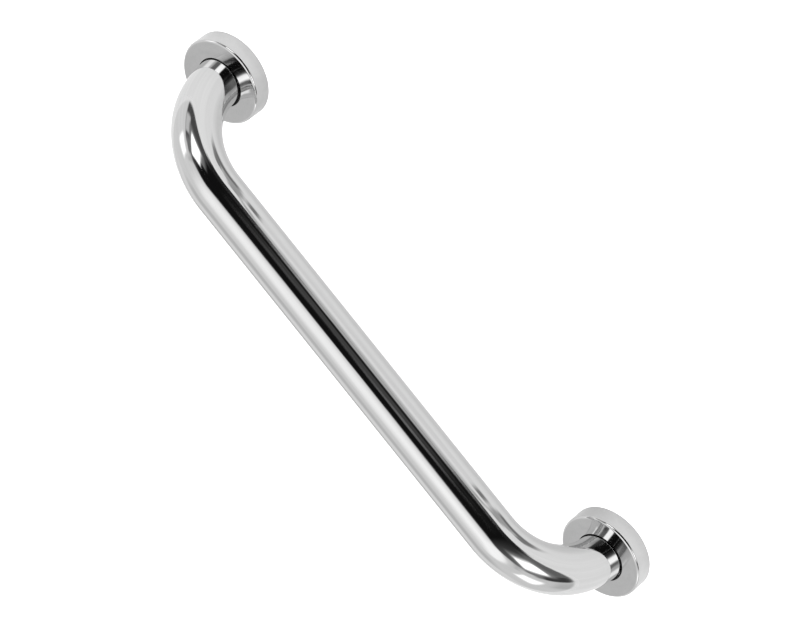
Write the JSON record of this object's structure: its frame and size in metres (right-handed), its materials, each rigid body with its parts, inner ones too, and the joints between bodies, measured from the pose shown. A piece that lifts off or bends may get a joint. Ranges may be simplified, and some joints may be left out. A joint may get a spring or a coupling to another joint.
{
  "type": "grab rail",
  "caption": "Polished steel grab rail: a round tube bent down at each end to a welded flange on a gasket, screwed down and hidden by a loose round cover that slides up the leg.",
  "frame": {"origin": "on the deck plane that the gaskets sit on, midway between the legs; the screws reach below it into the deck", "axes": "+X along the rail, +Z away from the deck or bulkhead, +Y across the rail"},
  "size_m": [0.347, 0.047, 0.0855],
  "materials": {
    "polished_steel": "mirror-polished stainless steel with faint drawing lines along the tube",
    "brushed_steel": "plain stainless steel, lightly brushed, as stamped and turned",
    "weld_steel": "rippled weld metal with a straw and blue heat tint",
    "black_rubber": "matte black moulded rubber"
  },
  "bodies": {
    "rail": {"rail_tube": "polished_steel", "left_base_gasket": "black_rubber", "left_flange_plate": "brushed_steel", "left_weld_bead": "weld_steel", "left_screw_1": "brushed_steel", "left_screw_2": "brushed_steel", "left_screw_3": "brushed_steel", "left_screw_washer_1": "black_rubber", "left_screw_washer_2": "black_rubber", "left_screw_washer_3": "black_rubber", "right_base_gasket": "black_rubber", "right_flange_plate": "brushed_steel", "right_weld_bead": "weld_steel", "right_screw_1": "brushed_steel", "right_screw_2": "brushed_steel", "right_screw_3": "brushed_steel", "right_screw_washer_1": "black_rubber", "right_screw_washer_2": "black_rubber", "right_screw_washer_3": "black_rubber"},
    "left_cover": {"left_cover": "polished_steel"},
    "right_cover": {"right_cover": "polished_steel"}
  },
  "joints": [
    {"name": "left_cover_lift", "type": "hinge", "parent": "rail", "child": "left_cover", "pos_m": [-0.1065, 0, 0.0095], "axis": [0, 1, 0], "range_deg": [0, 90]},
    {"name": "right_cover_lift", "type": "hinge", "parent": "rail", "child": "right_cover", "pos_m": [0.1065, 0, 0.0095], "axis": [0, -1, 0], "range_deg": [0, 90]}
  ]
}
